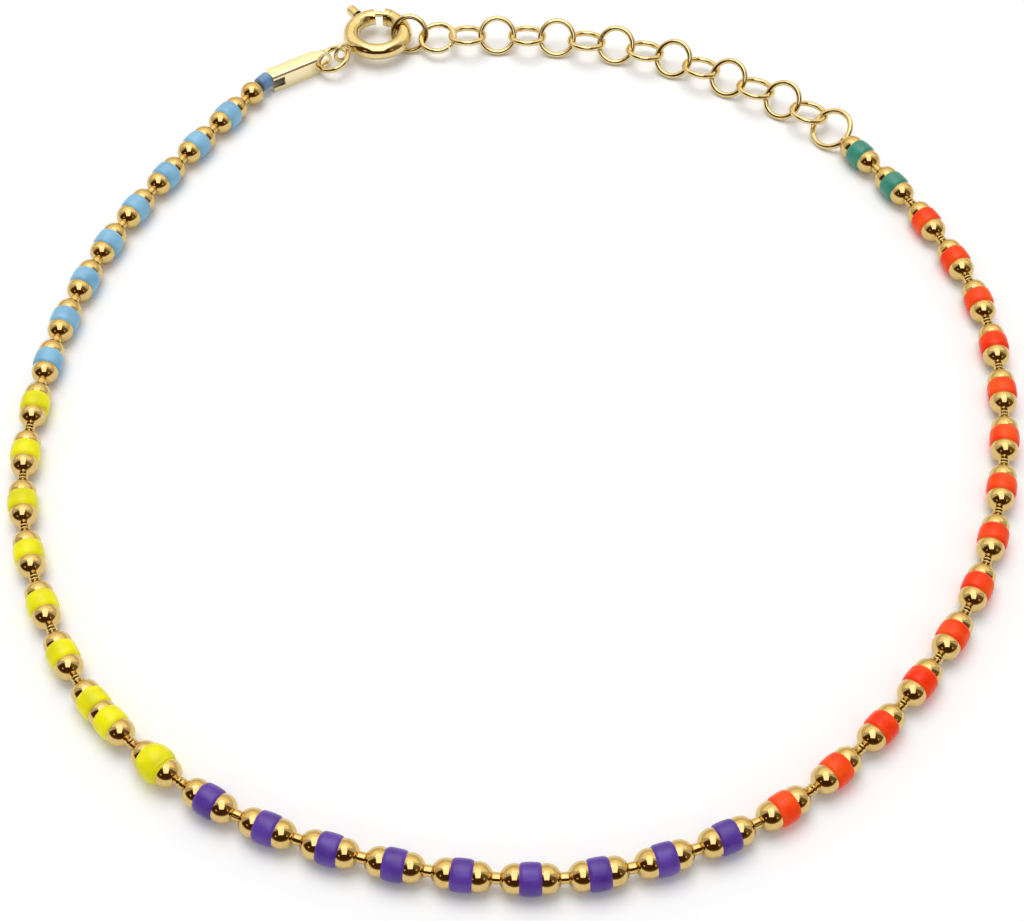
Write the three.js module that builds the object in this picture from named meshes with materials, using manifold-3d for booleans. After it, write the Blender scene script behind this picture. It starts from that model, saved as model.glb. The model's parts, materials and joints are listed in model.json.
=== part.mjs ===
// A bracelet of gold-plated ball chain with coloured enamel beads, closed by a spring ring clasp.
// It lies closed on a surface, as a loop in the XY plane with +Z up. All sizes are millimetres.
// The origin is on the surface, below the middle of the loop's bounding box.

import * as THREE from "three";
import { mergeVertices } from "three/addons/utils/BufferGeometryUtils.js";
import Module from "manifold-3d";

const wasm = await Module();
wasm.setup();

// Ball chain
const BALL_D = 1.65;
const NECK_D = 0.68;
const COVERED_NECK = 0.03; // between the two balls inside a bead
const END_STUB = 0.12; // neck between the last ball and the end ring
const PIN_D = 0.4; // wire from the first ball into the end tag
const PIN_REACH = 0.9; // how far the pin goes into the tag
const END_RING_OD = 3.1;
const END_RING_WIRE = 0.4;
const SOLDER_SINK = 0.25; // how deep the end ring's wire sits in the last neck

// Enamel beads
const BEAD_L = 1.27;
const BEAD_PROUD = 0.09; // how far a bead stands out over the balls
const BEAD_EDGE = 0.2; // length of the rounded edge
const BIG_BEAD_L = 1.6;
const BIG_BEAD_PROUD = 0.25;
const BEAD_CLEARANCE = 0.04; // between a bead and the balls inside it
const BORE_FLAT = 0.57; // share of a bead's half length where its bore is straight
const END_BEAD_D = 1.1;
const END_BEAD_L = 1.0;
const END_BEAD_GAP = 0.08; // from the end bead to the first ball, and to the tag

// End tag and jump ring
const TAG_L = 4.9;
const TAG_D = 1.2; // its depth across the chain
const TAG_WALL = 0.18;
const EYELET_RIM = 0.2; // metal left round the eyelet
const EYELET_PLATE = 0.5; // thickness of the plate that the eyelet goes through
const NOTCH_L = 0.75;
const NOTCH_SILL = 0.45; // height of the wall left below the notch
const PIN_CLEARANCE = 0.05; // from the pin to what it goes into
const JUMP_RING_OD = 2.6;
const JUMP_RING_WIRE = 0.38;
const JUMP_RING_SAG = 0.38; // how far it hangs to the inside of the line from eye to eyelet

// Spring ring clasp, its angles in degrees from the eye, anticlockwise seen from above
const CLASP_OD = 5.0;
const CLASP_TUBE_D = 1.15;
const CLASP_WALL = 0.19;
const CLASP_TURN = 10; // how far the eye turns from the tag's eyelet to the inside of the loop
const MOUTH_AT = -132;
const MOUTH_WIDTH = 0.75;
const KNOB_AT = -92;
const KNOB_TRAVEL = 45;
const KNOB_D = 0.8;
const KNOB_REACH = 1.0; // how far the knob stands out of the tube
const STEM_D = 0.4;
const SLOT_CLEARANCE = 0.07;
const SLIDER_D = 0.54;
const SLIDER_TAIL = 14; // degrees of slider behind the knob
const TONGUE_D = 0.3;
const TONGUE_SOCKET = 5; // degrees that the tongue enters the far side of the mouth
const EYE_HOLE_D = 0.95;
const EYE_WIRE = 0.3;
const EYE_SINK = 0.12; // how deep the eye is soldered into the tube's wall
const CUTTER_SPARE = 4; // degrees that the bore's cutter runs past both ends of the tube

// Extension chain
const LINK_COUNT = 15;
const LINK_OD = 2.82;
const LINK_WIRE = 0.4;
const LINK_WELD = 0.14; // how far touching links sink into each other
const RING_PLAY = 0.06; // clearance where a loose ring holds another piece
const BACK_LEAN = 45; // degrees that the odd links rise towards the outside of the loop
const FRONT_LEAN = -14; // the even links, which rise towards its inside
const HOOKED_LEAN = 50; // the link that the clasp holds
const SECOND_LEAN = 10; // the link that hangs in the hooked one
const HOOK_DROP = 25; // degrees down round the hooked link to where the second one hangs

// Colours
const GOLD = 0xe2bd72;
const END_BEAD_COLOUR = 0x5a7fa5;

// Facets and samples
const FULL_TURN = 360;
const ROUND_SIDES = 10;
const WIRE_SIDES = 5;
const RING_STEPS = 12;
const CLASP_STEPS = 16;
const WAIST_POLAR = 66; // degrees from a ball's pole to the ring of corners near its waist

// Runs of beads from the clasp round the loop, with the neck that shows after each bead
const BEAD_RUNS = [
  { name: "light_blue_bead", count: 8, neck: 0.22, colour: 0x82b9d6 },
  { name: "yellow_bead", count: 9, neck: 0.475, colour: 0xe0dc08 },
  { name: "purple_bead", count: 9, neck: 0.25, colour: 0x5b3c88 },
  { name: "orange_red_bead", count: 14, neck: 0.485, colour: 0xf3451a },
  { name: "green_bead", count: 2, neck: 0.3, colour: 0x2e8063 },
];
const CLOSE_PAIR = "yellow_bead_7"; // this bead and the next one share a ball
const BIG_BEAD = "yellow_bead_9";
const LIFT_SPAN = 4; // length over which the strand rises to clear the big bead
const ROUTE_SAMPLES = 100; // per point of the route, to measure along it
const MERGE_WITHIN = 1e-4; // corners nearer than this are one

// The route of the whole loop seen from above, from the first ball round to it again
const ROUTE = [
  [-18.3, 32.2], [-22.6, 25.4], [-26.6, 17.6], [-29.1, 7.6], [-29.15, -3.7], [-25.5, -14.15],
  [-21.3, -19.75], [-14.8, -24.6], [-4.4, -27.9], [4.6, -28.1], [14.1, -24.55], [21.7, -17.75],
  [27.3, -9.15], [30.3, 2.2], [30.2, 12.2], [27.2, 20.6], [23.2, 27.1], [21.5, 29.4],
  [16.0, 33.3], [9.4, 36.6], [2.1, 38.1], [-5.4, 38.2], [-9.7, 38.3], [-13.4, 36.2], [-17.2, 33.8],
];

// Worked-out sizes
const ballR = BALL_D / 2;
const beadR = ballR + BEAD_PROUD;
const bigBeadR = ballR + BIG_BEAD_PROUD;
const strandZ = beadR;
const neckAngle = Math.asin(NECK_D / BALL_D);
const waistAngle = THREE.MathUtils.degToRad(WAIST_POLAR);
const coveredPitch = BALL_D + COVERED_NECK;
const tagH = strandZ + PIN_D / 2 + PIN_CLEARANCE + TAG_WALL;
const eyeletAt = TAG_L - tagH / 2;
const eyeletR = tagH / 2 - EYELET_RIM;
const foldL = eyeletAt - tagH / 2;
const claspR = (CLASP_OD - CLASP_TUBE_D) / 2;
const mouthHalf = THREE.MathUtils.radToDeg(MOUTH_WIDTH / 2 / claspR); // an angle from its middle
const linkR = (LINK_OD - LINK_WIRE) / 2;
const linkInnerR = LINK_OD / 2 - LINK_WIRE;
const linkReach = linkR - LINK_WIRE + LINK_WELD; // from its middle to the wire of the next link
const linkPitch = linkR + linkReach;
const linkZ = linkR * Math.sin(THREE.MathUtils.degToRad(BACK_LEAN)) + LINK_WIRE / 2;
const hookedLean = THREE.MathUtils.degToRad(HOOKED_LEAN);
const hookedZ = linkR * Math.sin(hookedLean) + LINK_WIRE / 2;
const hookDrop = linkReach * Math.sin(THREE.MathUtils.degToRad(HOOK_DROP));
const hookBack = linkReach * Math.cos(THREE.MathUtils.degToRad(HOOK_DROP));
const hookAside = hookDrop * Math.cos(hookedLean);
const hookZ = hookedZ - hookDrop * Math.sin(hookedLean);
const claspZ = hookedZ;
const jumpR = (JUMP_RING_OD - JUMP_RING_WIRE) / 2;
const eyeR = (EYE_HOLE_D + EYE_WIRE) / 2;
const eyeReach = CLASP_OD / 2 - EYE_SINK + eyeR + EYE_WIRE / 2;
const endRingR = (END_RING_OD - END_RING_WIRE) / 2;
const up = new THREE.Vector3(0, 0, 1);

// The strand: each covered joint holds a bead, and its open joints show a neck
const beads = BEAD_RUNS.flatMap((run) =>
  Array.from({ length: run.count }, (_, i) => ({ ...run, name: `${run.name}_${i + 1}` })),
);
const ballStations = [0, BALL_D + beads[0].neck];
beads.forEach((bead) => {
  bead.start = ballStations.at(-1);
  bead.middle = bead.start + coveredPitch / 2;
  ballStations.push(bead.start + coveredPitch);
  const apart = bead.name !== CLOSE_PAIR && bead !== beads.at(-1);
  if (apart) ballStations.push(ballStations.at(-1) + BALL_D + bead.neck);
});

// Stations of everything else, each at its own distance after the last
const lastBall = ballStations.at(-1);
const endRingAt = lastBall + ballR + END_STUB + END_RING_OD / 2 - SOLDER_SINK;
const lastLinkAt = endRingAt + linkInnerR + END_RING_OD / 2 - END_RING_WIRE - RING_PLAY;
const straightLinks = LINK_COUNT - 2; // all but the hooked one and the one that hangs in it
const hangFrom = lastLinkAt + (straightLinks - 1) * linkPitch + linkReach;
const hangSpan = Math.sqrt((2 * linkR) ** 2 - hookAside ** 2 - (hookZ - linkZ) ** 2);
const hookedLinkAt = hangFrom + hangSpan + hookBack;
const claspAt = hookedLinkAt + claspR + linkInnerR - RING_PLAY - CLASP_TUBE_D / 2;
const jumpPull = Math.min(eyeletR, EYE_HOLE_D / 2) - JUMP_RING_WIRE / 2 - RING_PLAY;
const jumpRise = claspZ - tagH / 2;
const jumpSpan = Math.sqrt(
  (2 * (jumpR - jumpPull)) ** 2 - (2 * JUMP_RING_SAG) ** 2 - jumpRise ** 2,
);
const claspTurn = THREE.MathUtils.degToRad(CLASP_TURN);
const eyeAside = eyeReach * Math.sin(claspTurn);
const claspToEyelet = eyeReach * Math.cos(claspTurn) + Math.sqrt(jumpSpan ** 2 - eyeAside ** 2);
const eyeletStation = claspAt + claspToEyelet;
const tagEndAt = eyeletStation + eyeletAt;
const endBeadAt = tagEndAt + END_BEAD_GAP + END_BEAD_L / 2;
const loopLength = endBeadAt + END_BEAD_L / 2 + END_BEAD_GAP + ballR;
const tagBack = loopLength - tagEndAt; // from the first ball back to the tag's end

function routeCurve(scale) {
  const points = ROUTE.map(([x, y]) => new THREE.Vector3(x * scale, y * scale, 0));
  const curve = new THREE.CatmullRomCurve3(points, true, "centripetal");
  curve.arcLengthDivisions = ROUTE.length * ROUTE_SAMPLES;
  return curve;
}

// The route keeps its form and takes the length of what lies along it
const route = routeCurve(loopLength / routeCurve(1).getLength());
const bigBeadAt = beads.find((bead) => bead.name === BIG_BEAD).middle;

// The frame at a station: x to the outside of the loop, y along it and z up
function frameAt(station, z) {
  const share = THREE.MathUtils.euclideanModulo(station / loopLength, 1);
  const along = route.getTangentAt(share);
  const outward = new THREE.Vector3().crossVectors(along, up);
  return new THREE.Matrix4()
    .makeBasis(outward, along, up)
    .setPosition(route.getPointAt(share).setZ(z));
}

function strandHeight(station) {
  const away = (station - bigBeadAt) / LIFT_SPAN;
  return strandZ + (bigBeadR - beadR) * Math.exp(-away * away);
}

function pointAt(station, z) {
  return new THREE.Vector3().setFromMatrixPosition(frameAt(station, z));
}

// Booleans
function solidOf(geometry) {
  const bare = geometry.clone();
  bare.deleteAttribute("normal");
  bare.deleteAttribute("uv");
  const merged = mergeVertices(bare, MERGE_WITHIN);
  const mesh = new wasm.Mesh({
    numProp: 3,
    vertProperties: merged.attributes.position.array,
    triVerts: new Uint32Array(merged.index.array),
  });
  return new wasm.Manifold(mesh);
}

function geometryOf(solid) {
  const mesh = solid.getMesh();
  const geometry = new THREE.BufferGeometry();
  geometry.setAttribute("position", new THREE.BufferAttribute(mesh.vertProperties, 3));
  geometry.setIndex(new THREE.BufferAttribute(mesh.triVerts, 1));
  geometry.computeVertexNormals();
  return geometry;
}

function joined(geometries) {
  return geometries.map(solidOf).reduce((whole, piece) => whole.add(piece));
}

// Materials, one for each node
function goldPlate() {
  return new THREE.MeshStandardMaterial({ color: GOLD, roughness: 0.12, metalness: 1 });
}

function enamel(colour) {
  return new THREE.MeshStandardMaterial({ color: colour, roughness: 0.35, metalness: 0 });
}

// A body turned about y from [radius, y] pairs, with a corner of each section pointing up and down
function turned(profile) {
  return new THREE.LatheGeometry(profile.map(([r, y]) => new THREE.Vector2(r, y)), ROUND_SIDES);
}

// A torus with one corner on its x axis at each side, set by its centre and two directions in its plane
function wireRing(radius, wire, centre, along, across) {
  const normal = new THREE.Vector3().crossVectors(along, across).normalize();
  const second = new THREE.Vector3().crossVectors(normal, along);
  return new THREE.TorusGeometry(radius, wire / 2, WIRE_SIDES, RING_STEPS).applyMatrix4(
    new THREE.Matrix4().makeBasis(along, second, normal).setPosition(centre),
  );
}

// A ring of the chain whose plane holds the route and rises outwards by the lean
function leaningRing(station, z, radius, wire, lean) {
  const frame = frameAt(station, z);
  const outward = new THREE.Vector3().setFromMatrixColumn(frame, 0);
  const along = new THREE.Vector3().setFromMatrixColumn(frame, 1);
  const across = outward.applyAxisAngle(along, -THREE.MathUtils.degToRad(lean));
  return wireRing(radius, wire, pointAt(station, z), along, across);
}

// The straight strand is turned as one body and then bent along the route
function bent(geometry) {
  const places = geometry.attributes.position;
  const corner = new THREE.Vector3();
  for (let i = 0; i < places.count; i++) {
    corner.fromBufferAttribute(places, i);
    const station = corner.y;
    corner.setY(0).applyMatrix4(frameAt(station, strandHeight(station)));
    places.setXYZ(i, corner.x, corner.y, corner.z);
  }
  return geometry;
}

function strandProfile() {
  const pinEnd = -tagBack - PIN_REACH;
  const beadNear = -ballR - END_BEAD_GAP;
  const profile = [[0, pinEnd]];
  for (const station of [pinEnd, -tagBack, beadNear - END_BEAD_L, beadNear]) {
    profile.push([PIN_D / 2, station]);
  }
  for (const station of ballStations) {
    for (const angle of [neckAngle, waistAngle, Math.PI - waistAngle, Math.PI - neckAngle]) {
      profile.push([ballR * Math.sin(angle), station - ballR * Math.cos(angle)]);
    }
  }
  const stubEnd = lastBall + ballR + END_STUB;
  profile.push([NECK_D / 2, stubEnd], [0, stubEnd]);
  return profile;
}

function ballChain() {
  const strand = bent(turned(strandProfile()));
  const endRingZ = strandHeight(endRingAt);
  const lean = Math.asin((endRingZ - END_RING_WIRE / 2) / endRingR);
  const degrees = THREE.MathUtils.radToDeg(lean);
  const endRing = leaningRing(endRingAt, endRingZ, endRingR, END_RING_WIRE, degrees);
  return geometryOf(joined([strand, endRing]));
}

// Half the hole in a bead at a distance from its middle: the ball there and the clearance
function boreAt(distance) {
  const fromBall = Math.max(coveredPitch / 2 - distance, 0);
  return Math.sqrt(Math.max(ballR * ballR - fromBall * fromBall, 0)) + BEAD_CLEARANCE;
}

function beadGeometry(length, radius) {
  const half = length / 2;
  const shoulder = half - BEAD_EDGE;
  const flat = half * BORE_FLAT;
  const bore = boreAt(flat);
  return turned([
    [boreAt(half), -half],
    [radius, -shoulder],
    [radius, shoulder],
    [boreAt(half), half],
    [bore, flat],
    [bore, -flat],
    [boreAt(half), -half],
  ]);
}

function endBeadGeometry() {
  const half = END_BEAD_L / 2;
  const bore = PIN_D / 2 + PIN_CLEARANCE;
  return turned([
    [bore, -half],
    [END_BEAD_D / 2, -half],
    [END_BEAD_D / 2, half],
    [bore, half],
    [bore, -half],
  ]);
}

// A bar along an arc of the clasp's circle, between two angles from the eye
class ClaspArc extends THREE.Curve {
  constructor(from, to) {
    super();
    this.from = THREE.MathUtils.degToRad(from);
    this.to = THREE.MathUtils.degToRad(to);
  }

  getPoint(share, target = new THREE.Vector3()) {
    const angle = this.from + (this.to - this.from) * share;
    return target.set(claspR * Math.cos(angle), claspR * Math.sin(angle), 0);
  }
}

function disc(diameter) {
  const points = Array.from({ length: ROUND_SIDES }, (_, i) => {
    const angle = (i / ROUND_SIDES) * 2 * Math.PI;
    return new THREE.Vector2(Math.cos(angle), Math.sin(angle)).multiplyScalar(diameter / 2);
  });
  return new THREE.Shape(points);
}

function arcBar(diameter, from, to) {
  const steps = Math.max(2, Math.round((Math.abs(to - from) / FULL_TURN) * CLASP_STEPS));
  return new THREE.ExtrudeGeometry(disc(diameter), {
    extrudePath: new ClaspArc(from, to),
    steps,
  });
}

// A round bar that stands out from the clasp's circle at an angle, between two radii
function radialBar(diameter, at, inner, outer) {
  return new THREE.CylinderGeometry(diameter / 2, diameter / 2, outer - inner, ROUND_SIDES)
    .translate(0, (inner + outer) / 2, 0)
    .rotateZ(THREE.MathUtils.degToRad(at - 90));
}

function springRing() {
  const from = MOUTH_AT + mouthHalf;
  const to = MOUTH_AT - mouthHalf + FULL_TURN;
  const tube = solidOf(arcBar(CLASP_TUBE_D, from, to));
  const boreD = CLASP_TUBE_D - 2 * CLASP_WALL;
  const bore = solidOf(arcBar(boreD, from - CUTTER_SPARE, to + CUTTER_SPARE));
  const eye = solidOf(
    wireRing(eyeR, EYE_WIRE, new THREE.Vector3(eyeReach, 0, 0), new THREE.Vector3(1, 0, 0), up),
  );
  const slotWidth = STEM_D + 2 * SLOT_CLEARANCE;
  const slotEdge = THREE.MathUtils.radToDeg(slotWidth / 2 / claspR);
  const slot = new THREE.Shape([
    new THREE.Vector2(-slotWidth / 2, 0),
    new THREE.Vector2(slotWidth / 2, 0),
    new THREE.Vector2(slotWidth / 2, -CLASP_TUBE_D),
    new THREE.Vector2(-slotWidth / 2, -CLASP_TUBE_D),
  ]);
  const slotCut = solidOf(
    new THREE.ExtrudeGeometry(slot, {
      extrudePath: new ClaspArc(KNOB_AT - slotEdge, KNOB_AT + KNOB_TRAVEL + slotEdge),
      steps: CLASP_STEPS / 2,
    }),
  );
  return geometryOf(tube.add(eye).subtract(bore).subtract(slotCut));
}

function trigger() {
  const tip = MOUTH_AT - mouthHalf - TONGUE_SOCKET;
  const sliderFrom = MOUTH_AT + mouthHalf;
  return geometryOf(
    joined([
      arcBar(TONGUE_D, tip, KNOB_AT),
      arcBar(SLIDER_D, sliderFrom, KNOB_AT + SLIDER_TAIL),
      radialBar(STEM_D, KNOB_AT, claspR, CLASP_OD / 2 + KNOB_REACH / 2),
      radialBar(KNOB_D, KNOB_AT, CLASP_OD / 2 + SLOT_CLEARANCE, CLASP_OD / 2 + KNOB_REACH),
    ]),
  );
}

// The tag lies along x from its notched end. A strip folded over the pin is open below and at that
// end, its front is at -y, and a single plate with the eyelet stands out of its far end.
function endTag() {
  const side = new THREE.Shape();
  side.moveTo(foldL - TAG_WALL, 0);
  side.lineTo(eyeletAt, 0);
  side.absarc(eyeletAt, tagH / 2, tagH / 2, -Math.PI / 2, Math.PI / 2, false);
  side.lineTo(foldL - TAG_WALL, tagH);
  side.holes.push(new THREE.Path().absarc(eyeletAt, tagH / 2, eyeletR, 0, 2 * Math.PI, true));
  const plate = new THREE.ExtrudeGeometry(side, {
    depth: EYELET_PLATE,
    bevelEnabled: false,
    curveSegments: ROUND_SIDES / 2,
  });
  plate.rotateX(Math.PI / 2).translate(0, EYELET_PLATE / 2, 0);
  const strip = boxBetween(
    new THREE.Vector3(0, -TAG_D / 2, 0),
    new THREE.Vector3(foldL, TAG_D / 2, tagH),
  );
  const channel = boxBetween(
    new THREE.Vector3(-TAG_WALL, TAG_WALL - TAG_D / 2, -TAG_WALL),
    new THREE.Vector3(foldL - TAG_WALL, TAG_D / 2 - TAG_WALL, tagH - TAG_WALL),
  );
  const notch = boxBetween(
    new THREE.Vector3(-TAG_WALL, -TAG_D, NOTCH_SILL),
    new THREE.Vector3(NOTCH_L, 0, tagH - TAG_WALL),
  );
  return geometryOf(joined([plate, strip]).subtract(joined([channel, notch])));
}

function boxBetween(low, high) {
  const size = new THREE.Vector3().subVectors(high, low);
  const middle = new THREE.Vector3().addVectors(low, high).multiplyScalar(1 / 2);
  return new THREE.BoxGeometry(size.x, size.y, size.z).translate(middle.x, middle.y, middle.z);
}

// The second link, from where it hangs in the hooked one to the end of the straight links
function hangingLink() {
  const low = new THREE.Vector3(-hookAside, -hookBack, 0);
  low.applyMatrix4(frameAt(hookedLinkAt, hookZ));
  const high = pointAt(hangFrom, linkZ);
  const along = new THREE.Vector3().subVectors(low, high).normalize();
  const across = new THREE.Vector3().crossVectors(along, up).normalize();
  across.applyAxisAngle(along, -THREE.MathUtils.degToRad(SECOND_LEAN));
  const centre = new THREE.Vector3().addVectors(low, high).multiplyScalar(1 / 2);
  return wireRing(linkR, LINK_WIRE, centre, along, across);
}

function extensionChain() {
  const links = Array.from({ length: straightLinks }, (_, i) => {
    const lean = (straightLinks - i) % 2 ? FRONT_LEAN : BACK_LEAN;
    return leaningRing(lastLinkAt + i * linkPitch, linkZ, linkR, LINK_WIRE, lean);
  });
  links.push(hangingLink());
  links.push(leaningRing(hookedLinkAt, hookedZ, linkR, LINK_WIRE, HOOKED_LEAN));
  return geometryOf(joined(links));
}

// The assembly
const bracelet = new THREE.Group();

function addPiece(name, geometry, material, matrix = new THREE.Matrix4()) {
  const mesh = new THREE.Mesh(geometry, material);
  mesh.name = name;
  matrix.decompose(mesh.position, mesh.quaternion, mesh.scale);
  bracelet.add(mesh);
}

addPiece("ball_chain", ballChain(), goldPlate());

const beadShape = beadGeometry(BEAD_L, beadR);
const bigBeadShape = beadGeometry(BIG_BEAD_L, bigBeadR);
beads.forEach((bead) => {
  const shape = bead.name === BIG_BEAD ? bigBeadShape : beadShape;
  const place = frameAt(bead.middle, strandHeight(bead.middle));
  addPiece(bead.name, shape, enamel(bead.colour), place);
});

addPiece("end_bead", endBeadGeometry(), enamel(END_BEAD_COLOUR), frameAt(endBeadAt, strandZ));

// The tag runs from its end near the first ball to its eyelet
const tagEnd = pointAt(tagEndAt, 0);
const tagAlong = pointAt(eyeletStation, 0).sub(tagEnd).normalize();
const tagAcross = new THREE.Vector3().crossVectors(up, tagAlong);
const tagPlace = new THREE.Matrix4().makeBasis(tagAlong, tagAcross, up).setPosition(tagEnd);
addPiece("end_tag", endTag(), goldPlate(), tagPlace);

// The clasp turns its eye towards the tag's eyelet, and the jump ring goes through both
const claspCentre = pointAt(claspAt, claspZ);
const eyelet = new THREE.Vector3(eyeletAt, 0, tagH / 2).applyMatrix4(tagPlace);
const toEye = new THREE.Vector3().subVectors(eyelet, claspCentre).setZ(0).normalize();
toEye.applyAxisAngle(up, claspTurn);
const claspAcross = new THREE.Vector3().crossVectors(up, toEye);
const claspPlace = new THREE.Matrix4().makeBasis(toEye, claspAcross, up).setPosition(claspCentre);
const eye = new THREE.Vector3(eyeReach, 0, 0).applyMatrix4(claspPlace);
const eyeToEyelet = new THREE.Vector3().subVectors(eyelet, eye);
const jumpAlong = eyeToEyelet.clone().normalize();
const jumpAcross = new THREE.Vector3().crossVectors(up, jumpAlong);
const jumpCentre = eye
  .clone()
  .addScaledVector(eyeToEyelet, 1 / 2)
  .addScaledVector(jumpAcross, JUMP_RING_SAG);
addPiece(
  "jump_ring",
  wireRing(jumpR, JUMP_RING_WIRE, jumpCentre, jumpAlong, jumpAcross),
  goldPlate(),
);
addPiece("spring_ring", springRing(), goldPlate(), claspPlace);
addPiece("spring_ring_trigger", trigger(), goldPlate(), claspPlace);

addPiece("extension_chain", extensionChain(), goldPlate());

// The origin goes below the middle of the bounding box
const toItsCorners = true; // not to each mesh's own box, which is larger where a mesh is turned
const box = new THREE.Box3().setFromObject(bracelet, toItsCorners);
const middle = box.getCenter(new THREE.Vector3());
bracelet.position.set(-middle.x, -middle.y, 0);

export default bracelet;
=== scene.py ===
# %% [markdown]
# # A ball-chain bracelet with enamel beads
# The bracelet lies closed on a white surface. A gold-plated ball chain carries small barrel beads
# of coloured enamel, and a spring ring clasp holds the last link of an extension chain. The packed
# model says where the bracelet lies, so this lesson starts by loading it and keeping its box.

# %% Load the frame
import json
import math
import random

import bmesh
import bpy
from mathutils import Matrix, Vector


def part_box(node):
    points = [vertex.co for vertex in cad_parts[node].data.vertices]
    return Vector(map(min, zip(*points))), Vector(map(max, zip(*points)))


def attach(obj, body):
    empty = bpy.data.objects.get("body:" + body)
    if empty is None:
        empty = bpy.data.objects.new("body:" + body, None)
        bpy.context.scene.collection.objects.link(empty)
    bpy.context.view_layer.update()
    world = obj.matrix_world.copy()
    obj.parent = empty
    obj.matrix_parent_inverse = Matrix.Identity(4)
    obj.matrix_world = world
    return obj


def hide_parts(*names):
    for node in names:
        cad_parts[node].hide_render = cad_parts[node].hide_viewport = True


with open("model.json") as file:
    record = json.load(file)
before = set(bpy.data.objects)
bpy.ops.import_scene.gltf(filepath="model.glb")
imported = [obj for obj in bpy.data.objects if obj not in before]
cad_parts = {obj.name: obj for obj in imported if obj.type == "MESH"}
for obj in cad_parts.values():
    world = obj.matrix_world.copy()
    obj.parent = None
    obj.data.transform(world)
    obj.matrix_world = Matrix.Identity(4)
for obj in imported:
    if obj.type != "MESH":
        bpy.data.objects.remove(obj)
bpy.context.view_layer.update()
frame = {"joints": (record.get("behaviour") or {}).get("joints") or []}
MM = 0.001

# %% [markdown]
# ## The view and the light
# The photograph looks down on the bracelet from the front, at 52 degrees above the table. The lens
# follows from how much smaller the far beads look than the near ones. The camera comes first, so
# that every later step can be judged through it.

# %% Camera
VIEW_ELEVATION = math.radians(52)
VIEW_DISTANCE = 0.1235
VIEW_TARGET = Vector((-0.0005, -0.0060, 0.0))
LENS = 71.04

camera_data = bpy.data.cameras.new("camera")
camera_data.lens = LENS
camera_data.sensor_width = 36
camera_data.clip_start = 0.005
camera_data.clip_end = 20
camera = bpy.data.objects.new("camera", camera_data)
camera.location = VIEW_TARGET + VIEW_DISTANCE * Vector(
    (0, -math.cos(VIEW_ELEVATION), math.sin(VIEW_ELEVATION)))
camera.rotation_euler = (math.pi / 2 - VIEW_ELEVATION, 0, 0)
bpy.context.scene.collection.objects.link(camera)
bpy.context.scene.camera = camera
bpy.context.scene.view_settings.view_transform = "Standard"
print("camera at", [round(value, 4) for value in camera.location])

# %% [markdown]
# ## Colours and nodes
# Colours are written as the hex values that a picture editor shows. A renderer works in linear
# light, so one function turns them round. Another one adds a node, sets it and links it.

# %% Colour and node helpers


def linear(code, alpha=1.0):
    """An sRGB hex colour as linear red, green, blue and alpha."""
    shares = [int(code[i:i + 2], 16) / 255 for i in (0, 2, 4)]
    curve = [s / 12.92 if s <= 0.04045 else ((s + 0.055) / 1.055) ** 2.4 for s in shares]
    return (*curve, alpha)


def add_node(tree, kind, settings=None, links=None):
    """A new node with its settings (own or of a socket) and links into its sockets."""
    node = tree.nodes.new(kind)
    for name, value in (settings or {}).items():
        if isinstance(name, str) and hasattr(node, name):
            setattr(node, name, value)
        else:
            node.inputs[name].default_value = value
    for name, source in (links or {}).items():
        tree.links.new(source, node.inputs[name])
    return node


def new_material(name):
    """An empty node material with its shader and output."""
    material = bpy.data.materials.new(name)
    material.use_nodes = True
    tree = material.node_tree
    tree.nodes.clear()
    shader = add_node(tree, "ShaderNodeBsdfPrincipled")
    add_node(tree, "ShaderNodeOutputMaterial", links={"Surface": shader.outputs["BSDF"]})
    place = add_node(tree, "ShaderNodeTexCoord")
    return material, tree, shader, place.outputs["Object"]


# %% [markdown]
# ## White table and soft light
# The photograph has a seamless white ground and one large soft light overhead. Polished gold shows
# little of its own colour: it mirrors the light above, the white table below and the dark room
# between them. The dark room behind the camera with two small lamps, the pale wall behind the
# bracelet and the highlight of the lamp above it are painted reflections: glowing parts of a dome
# that only mirror rays can see, which light nothing.

# %% Table, room and lights
TABLE_SIZE = 4.0
METRES_PER_GRAIN = 0.25 * MM
CARD_STEPS = 24
ROOM_GLOW = 0.6


def stage_object(name, bm, material):
    """A piece of the studio, which is not part of the bracelet."""
    mesh = bpy.data.meshes.new(name)
    bm.to_mesh(mesh)
    bm.free()
    mesh.materials.append(material)
    piece = bpy.data.objects.new(name, mesh)
    bpy.context.scene.collection.objects.link(piece)
    return piece


table_material, tree, shader, place = new_material("white_paper")
grain = add_node(tree, "ShaderNodeTexNoise", {"Scale": 1 / METRES_PER_GRAIN, "Detail": 2.0},
                 {"Vector": place})
tone = add_node(tree, "ShaderNodeMapRange", {"To Min": 0.62, "To Max": 0.7},
                {"Value": grain.outputs["Fac"]})
tree.links.new(tone.outputs["Result"], shader.inputs["Roughness"])
shader.inputs["Base Color"].default_value = linear("FFFFFF")
shader.inputs["Specular IOR Level"].default_value = 0.1

bm = bmesh.new()
bmesh.ops.create_grid(bm, x_segments=1, y_segments=1, size=TABLE_SIZE / 2)
stage_object("table", bm, table_material)


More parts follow.
